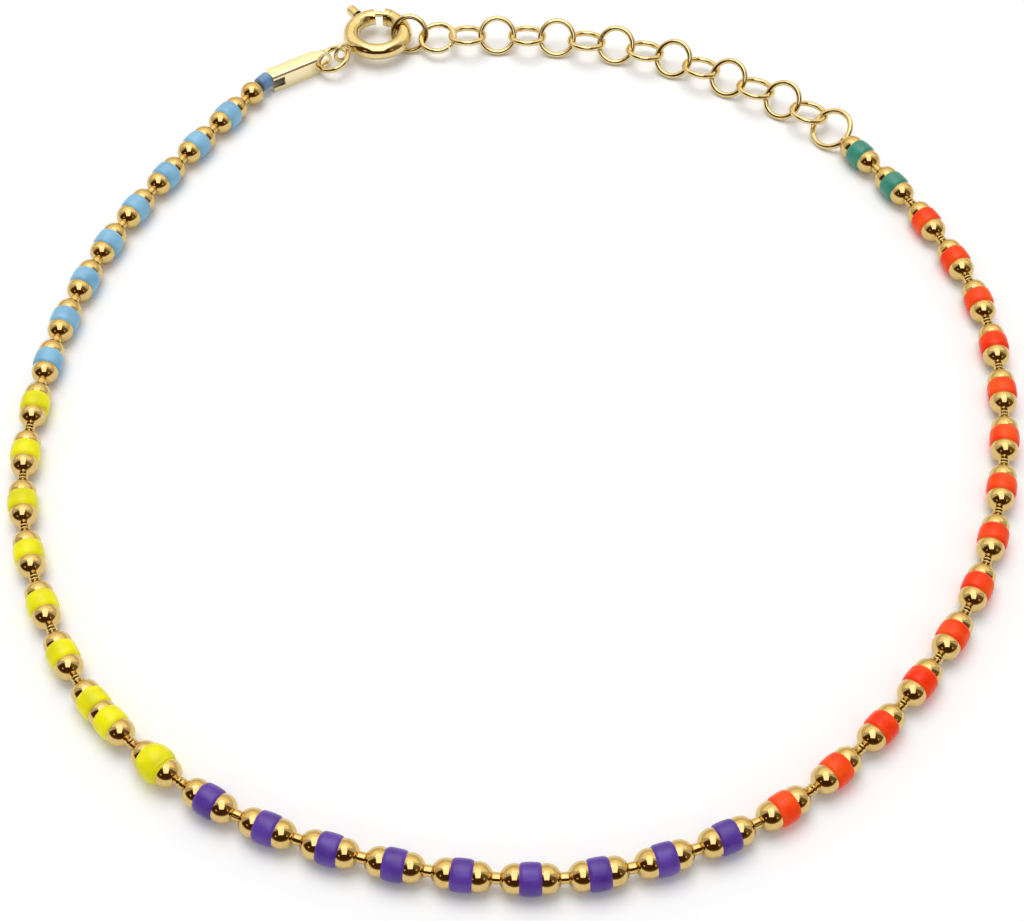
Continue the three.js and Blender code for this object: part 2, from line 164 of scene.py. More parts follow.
def mirror_card(name, colour, strength, rises, turns, radius, axis=(0, 0, 1)):
    """Painted reflection: part of a glowing dome that only mirror rays see, turned from the
    camera's side.
    """
    material, tree, shader, place = new_material(name)
    shader.inputs["Base Color"].default_value = linear("000000")
    shader.inputs["Specular IOR Level"].default_value = 0.0
    shader.inputs["Emission Color"].default_value = linear(colour)
    shader.inputs["Emission Strength"].default_value = strength
    low, high = (math.radians(angle) for angle in rises)
    start, end = (math.radians(angle) for angle in turns)
    bm = bmesh.new()
    arc = [bm.verts.new((0, -radius * math.cos(angle), radius * math.sin(angle)))
           for angle in (low + (high - low) * k / CARD_STEPS for k in range(CARD_STEPS + 1))]
    edges = [bm.edges.new(pair) for pair in zip(arc, arc[1:])]
    bmesh.ops.rotate(bm, verts=arc, cent=(0, 0, 0), matrix=Matrix.Rotation(start, 3, axis))
    bmesh.ops.spin(bm, geom=arc + edges, cent=(0, 0, 0), axis=axis, angle=end - start,
                   steps=CARD_STEPS)
    card = stage_object(name, bm, material)
    card.visible_camera = False
    card.visible_diffuse = False
    card.visible_shadow = False
    card.visible_transmission = False


# Painted dark reflections: dim brown glowing cards that only mirror rays see, so the gold shows a
# dark room that the scene does not have.
mirror_card("painted_reflection_dim_room", "8A7050", 0.7, (2, 64), (-86, 86), 0.6)
mirror_card("painted_reflection_dark_corner", "4A3018", 0.9, (10, 58), (-80, 46), 0.56)
# Painted glints: two small cream cards that glow only in mirror rays and light nothing, drawn as
# light catches in the dark band of the gold.
mirror_card("painted_glint_left", "FFE9C0", 0.9, (26, 34), (-52, -40), 0.5)
mirror_card("painted_glint_right", "FFE9C0", 0.9, (24, 32), (44, 56), 0.5)
# Painted reflections of a pale wall behind the bracelet: cream cards that glow only in mirror rays
# and light nothing.
mirror_card("painted_reflection_pale_wall", "FFF6E2", 1.25, (30, 64), (110, 250), 0.6)
mirror_card("painted_reflection_low_wall", "FFF4DC", 0.85, (6, 30), (110, 250), 0.6)
# Painted highlight: a bright card over the bracelet that glows only in mirror rays and lights
# nothing; the real lamp is overhead_box.
mirror_card("painted_highlight_over", "F2F2FF", 1.95, (52, 122), (-20, 20), 0.5, axis=(0, 1, 0))

world = bpy.data.worlds.new("studio")
world.use_nodes = True
world.node_tree.nodes["Background"].inputs["Color"].default_value = linear("FFFFFF")
world.node_tree.nodes["Background"].inputs["Strength"].default_value = ROOM_GLOW
bpy.context.scene.world = world


def soft_box(name, place, target, width, depth, watts, colour):
    """A large rectangular lamp that looks at a point."""
    data = bpy.data.lights.new(name, "AREA")
    data.shape = "RECTANGLE"
    data.size = width
    data.size_y = depth
    data.energy = watts
    data.color = linear(colour)[:3]
    lamp = bpy.data.objects.new(name, data)
    lamp.location = place
    lamp.rotation_euler = (Vector(target) - Vector(place)).to_track_quat("-Z", "Y").to_euler()
    bpy.context.scene.collection.objects.link(lamp)
    return lamp


soft_box("overhead_box", (-0.06, 0.20, 0.60), (0, 0, 0), 0.46, 0.52, 2.2, "FEFEFF")
print("studio ready")

# %% [markdown]
# ## Gold plating
# The metal is brass, tumbled smooth and plated with bright gold. It mirrors sharply, with faint
# waves from the polishing and a few rubbed places that are a little softer. Both patterns are
# finer than a ball, so their scales are worked out from tenths of a millimetre.

# %% Gold material
METRES_PER_WAVE = 0.6 * MM
METRES_PER_RUB = 0.25 * MM


def gold_plating(name, colour, pale, rough_low, rough_high, wave):
    """Bright gold plating whose polish is never quite even."""
    material, tree, shader, place = new_material(name)
    rubbed = add_node(tree, "ShaderNodeTexNoise",
                      {"Scale": 1 / METRES_PER_RUB, "Detail": 3.0, "Roughness": 0.6},
                      {"Vector": place})
    polish = add_node(tree, "ShaderNodeMapRange",
                      {"From Min": 0.35, "From Max": 0.75,
                       "To Min": rough_low, "To Max": rough_high},
                      {"Value": rubbed.outputs["Fac"]})
    waves = add_node(tree, "ShaderNodeTexNoise", {"Scale": 1 / METRES_PER_WAVE, "Detail": 1.0},
                     {"Vector": place})
    bump = add_node(tree, "ShaderNodeBump", {"Strength": wave, "Distance": 0.02 * MM},
                    {"Height": waves.outputs["Fac"]})
    tint = add_node(tree, "ShaderNodeValToRGB", links={"Fac": rubbed.outputs["Fac"]})
    tint.color_ramp.elements[0].color = linear(colour)
    tint.color_ramp.elements[0].position = 0.3
    tint.color_ramp.elements[1].color = linear(pale)
    tint.color_ramp.elements[1].position = 0.9
    tree.links.new(tint.outputs["Color"], shader.inputs["Base Color"])
    tree.links.new(polish.outputs["Result"], shader.inputs["Roughness"])
    tree.links.new(bump.outputs["Normal"], shader.inputs["Normal"])
    shader.inputs["Metallic"].default_value = 1.0
    return material


ball_gold = gold_plating("gold_plated_ball_chain", "D3B36C", "E8CC88", 0.05, 0.12, 0.25)
wire_gold = gold_plating("gold_plated_wire", "DEC686", "F2DEA8", 0.07, 0.16, 0.4)
tag_gold = gold_plating("gold_plated_sheet", "F5E5B2", "FDF2CE", 0.14, 0.28, 0.6)
print("gold materials ready")

# %% [markdown]
# ## Enamel
# The beads are opaque enamel, fired so that the surface flows into a soft gloss. The colour lies a
# little thicker and darker in places, and no two beads come out of the kiln quite alike. Each bead
# therefore gets its own tint from where it lies along the loop.

# %% Enamel material
METRES_PER_FLOW = 1.2 * MM
METRES_PER_PORE = 0.12 * MM


def enamel(name, light, deep, gloss_level=0.35, roughness=0.3):
    """Opaque fired enamel that varies between two tints."""
    material, tree, shader, place = new_material(name)
    flow = add_node(tree, "ShaderNodeTexNoise",
                    {"Scale": 1 / METRES_PER_FLOW, "Detail": 2.0, "Roughness": 0.45},
                    {"Vector": place})
    tint = add_node(tree, "ShaderNodeValToRGB", links={"Fac": flow.outputs["Fac"]})
    tint.color_ramp.elements[0].color = linear(deep)
    tint.color_ramp.elements[0].position = 0.32
    tint.color_ramp.elements[1].color = linear(light)
    tint.color_ramp.elements[1].position = 0.62
    pores = add_node(tree, "ShaderNodeTexNoise", {"Scale": 1 / METRES_PER_PORE, "Detail": 2.0},
                     {"Vector": place})
    gloss = add_node(tree, "ShaderNodeMapRange",
                     {"To Min": roughness - 0.06, "To Max": roughness + 0.08},
                     {"Value": pores.outputs["Fac"]})
    bump = add_node(tree, "ShaderNodeBump", {"Strength": 0.25, "Distance": 0.01 * MM},
                    {"Height": pores.outputs["Fac"]})
    tree.links.new(tint.outputs["Color"], shader.inputs["Base Color"])
    tree.links.new(gloss.outputs["Result"], shader.inputs["Roughness"])
    tree.links.new(bump.outputs["Normal"], shader.inputs["Normal"])
    shader.inputs["IOR"].default_value = 1.52
    shader.inputs["Specular IOR Level"].default_value = gloss_level
    shader.inputs["Coat Weight"].default_value = gloss_level / 3
    shader.inputs["Coat Roughness"].default_value = 0.12
    return material


enamels = {
    "light_blue_bead": enamel("light_blue_enamel", "86BEDC", "6FA9CC"),
    "yellow_bead": enamel("yellow_enamel", "F8F000", "DFD600", 0.16),
    "purple_bead": enamel("purple_enamel", "5F3AA2", "4B2588", 0.3),
    "orange_red_bead": enamel("orange_red_enamel", "FF5410", "F83200", 0.12),
    "green_bead": enamel("green_enamel", "38927A", "287E68"),
    "end_bead": enamel("dark_blue_enamel", "6C96C0", "4E78A4", 0.6),
}
print("enamel materials:", len(enamels))

# %% [markdown]
# ## The route of the loop
# The whole bracelet lies along one smooth closed curve. The curve goes through a few chosen
# points, and a place on it is given as a distance from the first ball. The same points and the
# same run of stations made the solids, so each piece lands where its solid is.

# %% Route
ROUTE = [
    (-18.3, 32.2), (-22.6, 25.4), (-26.6, 17.6), (-29.1, 7.6), (-29.15, -3.7), (-25.5, -14.15),
    (-21.3, -19.75), (-14.8, -24.6), (-4.4, -27.9), (4.6, -28.1), (14.1, -24.55), (21.7, -17.75),
    (27.3, -9.15), (30.3, 2.2), (30.2, 12.2), (27.2, 20.6), (23.2, 27.1), (21.5, 29.4),
    (16.0, 33.3), (9.4, 36.6), (2.1, 38.1), (-5.4, 38.2), (-9.7, 38.3), (-13.4, 36.2),
    (-17.2, 33.8),
]
SAMPLES = 100 * len(ROUTE)
SHARE_STEP = 1e-4
UP = Vector((0, 0, 1))


def blended(x0, x1, x2, x3, d0, d1, d2, share):
    """One coordinate of a curve through four values with uneven spacing."""
    t1 = ((x1 - x0) / d0 - (x2 - x0) / (d0 + d1) + (x2 - x1) / d1) * d1
    t2 = ((x2 - x1) / d1 - (x3 - x1) / (d1 + d2) + (x3 - x2) / d2) * d1
    return (x1 + t1 * share + (3 * (x2 - x1) - 2 * t1 - t2) * share ** 2
            + (2 * (x1 - x2) + t1 + t2) * share ** 3)


def route_point(share, scale):
    """The point at a share of the closed curve's parameter."""
    place = (share % 1) * len(ROUTE)
    first = int(place)
    four = [Vector(ROUTE[(first + k) % len(ROUTE)]) * scale for k in (-1, 0, 1, 2)]
    gaps = [(a - b).length ** 0.5 for a, b in zip(four, four[1:])]
    return Vector([blended(*(p[axis] for p in four), *gaps, place - first) for axis in (0, 1)]
                  + [0.0])


def lengths_along(scale):
    """The distance along the curve at evenly spaced shares."""
    total = [0.0]
    last = route_point(0, scale)
    for k in range(1, SAMPLES + 1):
        point = route_point(k / SAMPLES, scale)
        total.append(total[-1] + (point - last).length)
        last = point
    return total


print("route:", len(ROUTE), "points,", round(lengths_along(1)[-1], 2), "mm round")

# %% [markdown]
# ## The run of stations
# A ball follows a ball all the way round. Two balls nearly touch where a bead covers them, and
# between beads a short neck shows, whose length differs from colour to colour. The ring, links,
# clasp and tag then take up the rest of the loop.

# %% Stations in millimetres
BALL_D, NECK_D, COVERED_NECK, END_STUB = 1.65, 0.68, 0.03, 0.12
END_RING_OD, END_RING_WIRE, SOLDER_SINK = 3.1, 0.4, 0.25
BEAD_L, BEAD_PROUD, BIG_BEAD_L, BIG_BEAD_PROUD = 1.27, 0.09, 1.6, 0.25
END_BEAD_D, END_BEAD_L, END_BEAD_GAP = 1.1, 1.0, 0.08
TAG_L, TAG_D, TAG_WALL, PIN_D, PIN_CLEARANCE, EYELET_RIM = 4.9, 1.2, 0.18, 0.4, 0.05, 0.2
JUMP_RING_OD, JUMP_RING_WIRE, JUMP_RING_SAG = 2.6, 0.38, 0.38
CLASP_OD, CLASP_TUBE_D, CLASP_TURN = 5.0, 1.15, math.radians(10)
EYE_HOLE_D, EYE_WIRE, EYE_SINK = 0.95, 0.3, 0.12
LINK_COUNT, LINK_OD, LINK_WIRE, LINK_WELD, RING_PLAY = 15, 2.82, 0.4, 0.14, 0.06
BACK_LEAN, FRONT_LEAN = math.radians(45), math.radians(-14)
HOOKED_LEAN, SECOND_LEAN, HOOK_DROP = math.radians(50), math.radians(10), math.radians(25)
RUNS = [("light_blue_bead", 8, 0.22), ("yellow_bead", 9, 0.475), ("purple_bead", 9, 0.25),
        ("orange_red_bead", 14, 0.485), ("green_bead", 2, 0.3)]
CLOSE_PAIR, BIG_BEAD, LIFT_SPAN = 14, 16, 4.0

ball_r = BALL_D / 2
bead_r = ball_r + BEAD_PROUD
big_bead_r = ball_r + BIG_BEAD_PROUD
covered_pitch = BALL_D + COVERED_NECK
tag_h = bead_r + PIN_D / 2 + PIN_CLEARANCE + TAG_WALL
eyelet_at = TAG_L - tag_h / 2
eyelet_r = tag_h / 2 - EYELET_RIM
clasp_r = (CLASP_OD - CLASP_TUBE_D) / 2
link_r = (LINK_OD - LINK_WIRE) / 2
link_inner_r = LINK_OD / 2 - LINK_WIRE
link_reach = link_r - LINK_WIRE + LINK_WELD
link_pitch = link_r + link_reach
link_z = link_r * math.sin(BACK_LEAN) + LINK_WIRE / 2
hooked_z = link_r * math.sin(HOOKED_LEAN) + LINK_WIRE / 2
hook_drop = link_reach * math.sin(HOOK_DROP)
hook_back = link_reach * math.cos(HOOK_DROP)
hook_aside = hook_drop * math.cos(HOOKED_LEAN)
hook_z = hooked_z - hook_drop * math.sin(HOOKED_LEAN)
jump_r = (JUMP_RING_OD - JUMP_RING_WIRE) / 2
eye_r = (EYE_HOLE_D + EYE_WIRE) / 2
eye_reach = CLASP_OD / 2 - EYE_SINK + eye_r + EYE_WIRE / 2
end_ring_r = (END_RING_OD - END_RING_WIRE) / 2

beads = [(f"{kind}_{i + 1}", kind, neck) for kind, count, neck in RUNS for i in range(count)]
balls = [0.0, BALL_D + beads[0][2]]
bead_middles = []
for i, (name, kind, neck) in enumerate(beads):
    bead_middles.append(balls[-1] + covered_pitch / 2)
    balls.append(balls[-1] + covered_pitch)
    if i != CLOSE_PAIR and i != len(beads) - 1:
        balls.append(balls[-1] + BALL_D + neck)

end_ring_at = balls[-1] + ball_r + END_STUB + END_RING_OD / 2 - SOLDER_SINK
last_link_at = end_ring_at + link_inner_r + END_RING_OD / 2 - END_RING_WIRE - RING_PLAY
straight_links = LINK_COUNT - 2
hang_from = last_link_at + (straight_links - 1) * link_pitch + link_reach
hang_span = math.sqrt((2 * link_r) ** 2 - hook_aside ** 2 - (hook_z - link_z) ** 2)
hooked_link_at = hang_from + hang_span + hook_back
clasp_at = hooked_link_at + clasp_r + link_inner_r - RING_PLAY - CLASP_TUBE_D / 2
jump_pull = min(eyelet_r, EYE_HOLE_D / 2) - JUMP_RING_WIRE / 2 - RING_PLAY
jump_rise = hooked_z - tag_h / 2
jump_span = math.sqrt((2 * (jump_r - jump_pull)) ** 2 - (2 * JUMP_RING_SAG) ** 2 - jump_rise ** 2)
eye_aside = eye_reach * math.sin(CLASP_TURN)
eyelet_station = (clasp_at + eye_reach * math.cos(CLASP_TURN)
                  + math.sqrt(jump_span ** 2 - eye_aside ** 2))
tag_end_at = eyelet_station + eyelet_at
end_bead_at = tag_end_at + END_BEAD_GAP + END_BEAD_L / 2
loop_length = end_bead_at + END_BEAD_L / 2 + END_BEAD_GAP + ball_r
print("balls:", len(balls), "beads:", len(beads), "loop:", round(loop_length, 2), "mm")

# %% Places along the route
route_scale = loop_length / lengths_along(1)[-1]
route_lengths = lengths_along(route_scale)


def share_at(station):
    """The curve's share at a distance along it, found between the two nearest samples."""
    reach = (station / loop_length % 1) * route_lengths[-1]
    low, high = 0, SAMPLES
    while high - low > 1:
        middle = (low + high) // 2
        low, high = (middle, high) if route_lengths[middle] <= reach else (low, middle)
    step = route_lengths[high] - route_lengths[low]
    return (low + (reach - route_lengths[low]) / step) / SAMPLES


origin = Vector((0, 0, 0))


def oriented(first, second, third, spot):
    """A matrix from three directions and a place."""
    matrix = Matrix.Identity(4)
    for column, direction in enumerate((first, second, third, spot)):
        for row in range(3):
            matrix[row][column] = direction[row]
    return matrix


def place_at(station, z):
    """The frame at a station: x to the outside of the loop, y along it and z up."""
    share = share_at(station)
    along = (route_point(share + SHARE_STEP, route_scale)
             - route_point(share - SHARE_STEP, route_scale))
    along.normalize()
    spot = route_point(share, route_scale) + origin + Vector((0, 0, z))
    return oriented(along.cross(UP), along, UP, spot)


def strand_height(station):
    """The height of the balls' middles, which rise a little towards the big bead."""
    away = (station - bead_middles[BIG_BEAD]) / LIFT_SPAN
    return bead_r + (big_bead_r - bead_r) * math.exp(-away * away)


shifts = []
for (name, kind, neck), station in zip(beads, bead_middles):
    low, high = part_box(name)
    shifts.append((Vector(low) + Vector(high)) / 2 / MM - place_at(station, 0).translation)
origin = sum(shifts, Vector()) / len(shifts)
origin.z = 0.0
spread = max((Vector((s.x, s.y, 0)) - origin).length for s in shifts)
print("origin of the route:", [round(v, 3) for v in origin], "within", round(spread, 4), "mm")

# %% [markdown]
# ## Making a piece
# Each piece is modelled in millimetres, put in its place, and then written in metres, so that its
# object can stay at the origin. Edges that turn sharply are kept crisp, and all others are smooth.

# %% Piece helper
SHARP = math.radians(38)
TOUCHING, CLOSE = 1e-4, 1e-3


def add_piece(name, bm, material, node, place=None, body="bracelet", sharp=SHARP):
    """Writes a mesh as a piece that rides on a body and stands for a node."""
    if place is not None:
        bmesh.ops.transform(bm, matrix=place, verts=bm.verts)
    bmesh.ops.scale(bm, vec=(MM, MM, MM), verts=bm.verts)
    for face in bm.faces:
        face.smooth = True
    for edge in bm.edges:
        edge.smooth = len(edge.link_faces) != 2 or edge.calc_face_angle() < sharp
    mesh = bpy.data.meshes.new(name)
    bm.to_mesh(mesh)
    bm.free()
    mesh.materials.append(material)
    piece = bpy.data.objects.new(name, mesh)
    bpy.context.scene.collection.objects.link(piece)
    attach(piece, body)
    if node:
        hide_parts(*([node] if isinstance(node, str) else node))
    return piece


def everything(bm):
    """All parts of a mesh, as the cutting and copying operators take them."""
    return bm.verts[:] + bm.edges[:] + bm.faces[:]


def closed_up(bm, within=TOUCHING):
    """Merges doubles and turns the faces out."""
    bmesh.ops.remove_doubles(bm, verts=bm.verts, dist=within)
    bmesh.ops.recalc_face_normals(bm, faces=bm.faces)


# %% [markdown]
# ## Ball chain
# Real ball chain is a row of hollow balls, pressed round short wires that show as necks between
# the balls. One ball is a sphere with both poles cut off, copied along a straight line. Bridges
# join the open rims, and grooves are drawn into each longer bridge, so that it looks like a few
# small rings. The whole straight strand is then bent round the loop.

# %% Straight strand
BALL_SEGMENTS, BALL_RINGS = 32, 20
NECK_CUTS = 7
GROOVE_EVERY = 3
NECK_LOOK, GROOVE_LOOK = 0.96, 0.74
SHORT_NECK = 0.35
PIN_REACH = 0.9
PIN_STEPS = 8

bm = bmesh.new()
bmesh.ops.create_uvsphere(bm, u_segments=BALL_SEGMENTS, v_segments=BALL_RINGS, radius=ball_r,
                          matrix=Matrix.Rotation(math.pi / 2, 4, "X"))
neck_look_r = NECK_LOOK * NECK_D / 2
rim = math.sqrt(ball_r ** 2 - neck_look_r ** 2)
for side in (-1, 1):
    bmesh.ops.bisect_plane(bm, geom=everything(bm), plane_co=(0, side * rim, 0),
                           plane_no=(0, side, 0), clear_outer=True)
one_ball = everything(bm)
for station in balls[1:]:
    copy = bmesh.ops.duplicate(bm, geom=one_ball)["geom"]
    bmesh.ops.translate(bm, vec=(0, station, 0),
                        verts=[part for part in copy if isinstance(part, bmesh.types.BMVert)])

rims = {}
for edge in bm.edges:
    if edge.is_boundary:
        middle = (edge.verts[0].co.y + edge.verts[1].co.y) / 2
        rims.setdefault(round(middle, 2), []).append(edge)
ordered = [rims[key] for key in sorted(rims)]
print("rims:", len(ordered))

for i in range(1, len(ordered) - 1, 2):
    low_y = ordered[i][0].verts[0].co.y
    high_y = ordered[i + 1][0].verts[0].co.y
    bridge = bmesh.ops.bridge_loops(bm, edges=ordered[i] + ordered[i + 1])
    long_edges = [e for e in bridge["edges"] if abs(e.verts[0].co.y - e.verts[1].co.y) > CLOSE]
    if high_y - low_y < 2 * (ball_r - rim) + SHORT_NECK:
        continue
    cut = bmesh.ops.subdivide_edges(bm, edges=long_edges, cuts=NECK_CUTS, use_grid_fill=True)
    for part in cut["geom_inner"]:
        if isinstance(part, bmesh.types.BMVert):
            row = round((part.co.y - low_y) / (high_y - low_y) * (NECK_CUTS + 1))
            if row % GROOVE_EVERY == 1:
                flat = Vector((part.co.x, 0, part.co.z)).normalized() * GROOVE_LOOK * NECK_D / 2
                part.co.x, part.co.z = flat.x, flat.z

pin_length = END_BEAD_L + 2 * END_BEAD_GAP + PIN_REACH + ball_r - rim
for loop, reach, radius in ((ordered[0], -pin_length, PIN_D / 2),
                            (ordered[-1], END_STUB + ball_r - rim, neck_look_r)):
    corners = {v for e in loop for v in e.verts}
    for vert in corners:
        flat = Vector((vert.co.x, 0, vert.co.z)).normalized() * radius
        vert.co.x, vert.co.z = flat.x, flat.z
    edges = loop
    for _ in range(PIN_STEPS):
        grown = bmesh.ops.extrude_edge_only(bm, edges=edges)["geom"]
        verts = [part for part in grown if isinstance(part, bmesh.types.BMVert)]
        bmesh.ops.translate(bm, vec=(0, reach / PIN_STEPS, 0), verts=verts)
        edges = [part for part in grown if isinstance(part, bmesh.types.BMEdge)]
    bmesh.ops.holes_fill(bm, edges=edges)

# %% Bent strand
hoop_places = {}
for vert in bm.verts:
    station = round(vert.co.y, 4)
    if station not in hoop_places:
        hoop_places[station] = place_at(station, strand_height(station))
    vert.co = hoop_places[station] @ Vector((vert.co.x, 0, vert.co.z))
bmesh.ops.recalc_face_normals(bm, faces=bm.faces)
strand = add_piece("ball_strand", bm, ball_gold, "ball_chain")
print("ball strand:", len(strand.data.polygons), "faces")

# %% [markdown]
# ## Enamel beads
# A bead is a short tube with rounded rims and slightly bulging sides, pushed over the joint of two
# balls. Its section is a rectangle that is spun round the chain. A bevel rounds the rims, and the
# sides are then crowned. Each bead sits a little askew, as loose beads do.

# %% Bead shape
BEAD_SIDES = 36
RIM_ROUND = 0.24
BORE_ROUND = 0.05
BARREL_CUTS = 4
BEAD_TILT = math.radians(1.5)
BEAD_INSET, END_BEAD_INSET = 0.012, 0.005
BORE_SHARE, BIG_BORE_GAP, END_BORE_GAP = 0.9, 0.02, 0.03
CROWN, BIG_CROWN, END_CROWN = 0.05, 0.14, 0.03
BIG_RIM_ROUND, END_RIM_ROUND = 0.5, 0.12


def barrel(length, radius, bore, crown, rim_round):
    """A tube along y with rounded outer rims and a crowned side."""
    bm = bmesh.new()
    corners = [bm.verts.new((r, y, 0)) for r, y in (
        (bore, -length / 2), (radius, -length / 2), (radius, length / 2), (bore, length / 2))]
    edges = [bm.edges.new((corners[i], corners[(i + 1) % 4])) for i in range(4)]
    bmesh.ops.spin(bm, geom=corners + edges, cent=(0, 0, 0), axis=(0, 1, 0),
                   angle=2 * math.pi, steps=BEAD_SIDES, use_merge=True)
    closed_up(bm)
    for reach, offset, segments in ((radius, rim_round, 6), (bore, BORE_ROUND, 2)):
        hoops = [e for e in bm.edges if abs(e.verts[0].co.y - e.verts[1].co.y) < TOUCHING
                 and all(abs(math.hypot(v.co.x, v.co.z) - reach) < CLOSE for v in e.verts)]
        bmesh.ops.bevel(bm, geom=hoops, offset=offset, offset_type="OFFSET", segments=segments,
                        profile=0.5, affect="EDGES", material=-1)
    sides = [e for e in bm.edges if abs(e.verts[0].co.y - e.verts[1].co.y) > length / 4
             and math.hypot(e.verts[0].co.x, e.verts[0].co.z) > radius - CLOSE]
    bmesh.ops.subdivide_edges(bm, edges=sides, cuts=BARREL_CUTS, use_grid_fill=True)
    for vert in bm.verts:
        if math.hypot(vert.co.x, vert.co.z) > (bore + radius) / 2:
            away = 2 * vert.co.y / length
            vert.co.x *= 1 - crown * away * away
            vert.co.z *= 1 - crown * away * away
    bmesh.ops.recalc_face_normals(bm, faces=bm.faces)
    return bm


# %% Beads in place
chance = random.Random(7)
for i, ((name, kind, neck), station) in enumerate(zip(beads, bead_middles)):
    if i == BIG_BEAD:
        bm = barrel(BIG_BEAD_L, big_bead_r - BEAD_INSET, ball_r + BIG_BORE_GAP, BIG_CROWN,
                    BIG_RIM_ROUND)
    else:
        bm = barrel(BEAD_L, bead_r - BEAD_INSET, ball_r * BORE_SHARE, CROWN, RIM_ROUND)
    tilt = Matrix.Rotation(chance.uniform(-BEAD_TILT, BEAD_TILT), 4, "X")
    turn = Matrix.Rotation(chance.uniform(-BEAD_TILT, BEAD_TILT), 4, "Z")
    bead_place = place_at(station, strand_height(station)) @ tilt @ turn
    add_piece("enamel_" + name, bm, enamels[kind], name, bead_place)
print("beads:", len(beads))

bm = barrel(END_BEAD_L, END_BEAD_D / 2 - END_BEAD_INSET, PIN_D / 2 + END_BORE_GAP, END_CROWN,
            END_RIM_ROUND)
add_piece("enamel_end_bead", bm, enamels["end_bead"], "end_bead",
          place_at(end_bead_at, bead_r))

# %% [markdown]
# ## Rings and links
# Links and rings are bent from wire and closed end to end, so each has a fine seam where the cut
# ends meet. A circle of the wire's section, spun through almost a full turn and capped, gives
# both the ring and its seam. The link beside the hooked one was never closed quite tight.

# %% Wire ring
WIRE_SIDES = 12
RING_STEPS = 56
SEAM, SOLDERED_SEAM, OPEN_SEAM = 0.008, 0.004, 0.16
END_RING_SEAM_AT, OPEN_SEAM_AT, JUMP_SEAM_AT = (math.radians(angle) for angle in (-90, 215, 70))


def wire_ring(bm, radius, wire, place, seam_at, seam=SEAM):
    """Adds a ring of wire in the xy plane of a place, with its cut ends at an angle."""
    made = bmesh.ops.create_circle(bm, cap_ends=False, segments=WIRE_SIDES, radius=wire / 2,
                                   matrix=Matrix.Rotation(math.pi / 2, 4, "X"))["verts"]
    bmesh.ops.translate(bm, vec=(radius, 0, 0), verts=made)
    half_gap = seam / 2 / radius
    bmesh.ops.rotate(bm, verts=made, cent=(0, 0, 0),
                     matrix=Matrix.Rotation(seam_at + half_gap, 3, "Z"))
    edges = list({e for v in made for e in v.link_edges})
    before = set(bm.verts) - set(made)
    spun = bmesh.ops.spin(bm, geom=made + edges, cent=(0, 0, 0), axis=(0, 0, 1),
                          angle=2 * math.pi - 2 * half_gap, steps=RING_STEPS)
    new_verts = [v for v in bm.verts if v not in before]
    last = [part for part in spun["geom_last"] if isinstance(part, bmesh.types.BMEdge)]
    bmesh.ops.contextual_create(bm, geom=edges)
    bmesh.ops.contextual_create(bm, geom=last)
    bmesh.ops.transform(bm, matrix=place, verts=new_verts)


def ring_place(station, z, lean):
    """A ring's plane holds the route and rises outwards by the lean."""
    return place_at(station, z) @ Matrix.Rotation(-lean, 4, "Y")


# %% End ring
end_ring_z = strand_height(end_ring_at)
end_ring_lean = math.asin((end_ring_z - END_RING_WIRE / 2) / end_ring_r)
bm = bmesh.new()
wire_ring(bm, end_ring_r, END_RING_WIRE, ring_place(end_ring_at, end_ring_z, end_ring_lean),
          END_RING_SEAM_AT, SOLDERED_SEAM)
bmesh.ops.recalc_face_normals(bm, faces=bm.faces)
add_piece("end_ring", bm, wire_gold, None)

# %% Extension links
bm = bmesh.new()
for i in range(straight_links):
    leans_back = (straight_links - i) % 2 == 0
    wire_ring(bm, link_r, LINK_WIRE,
              ring_place(last_link_at + i * link_pitch, link_z,
                         BACK_LEAN if leans_back else FRONT_LEAN),
              0 if leans_back else math.pi)
wire_ring(bm, link_r, LINK_WIRE, ring_place(hooked_link_at, hooked_z, HOOKED_LEAN), 0)

low = place_at(hooked_link_at, hook_z) @ Vector((-hook_aside, -hook_back, 0))
high = place_at(hang_from, link_z).translation
hang_along = (low - high).normalized()
hang_across = hang_along.cross(UP).normalized()
hang_across.rotate(Matrix.Rotation(-SECOND_LEAN, 3, hang_along))
wire_ring(bm, link_r, LINK_WIRE,
          oriented(hang_across, hang_along, hang_across.cross(hang_along), (low + high) / 2),
          OPEN_SEAM_AT, OPEN_SEAM)
bmesh.ops.recalc_face_normals(bm, faces=bm.faces)
links = add_piece("extension_links", bm, wire_gold, "extension_chain")
print("links:", LINK_COUNT, "faces:", len(links.data.polygons))

# %% [markdown]
# ## End tag
# The tag is one strip of sheet, folded over the end of the chain, with a notch where the chain
# goes in and an eyelet at its far end. Its section is drawn as four points, the two folds are
# rounded with a bevel, and the sheet gets its thickness at the end.

# %% Tag places
tag_end = place_at(tag_end_at, 0).translation
tag_along = (place_at(eyelet_station, 0).translation - tag_end).normalized()
tag_place = oriented(tag_along, UP.cross(tag_along), UP, tag_end)
eyelet = tag_place @ Vector((eyelet_at, 0, tag_h / 2))

# %% Folded strip
FOLD_ROUND = 0.06
NOTCH_L, NOTCH_SILL, NOTCH_LINTEL = 0.9, 0.36, 1.6 * TAG_WALL
fold_l = eyelet_at - tag_h / 2

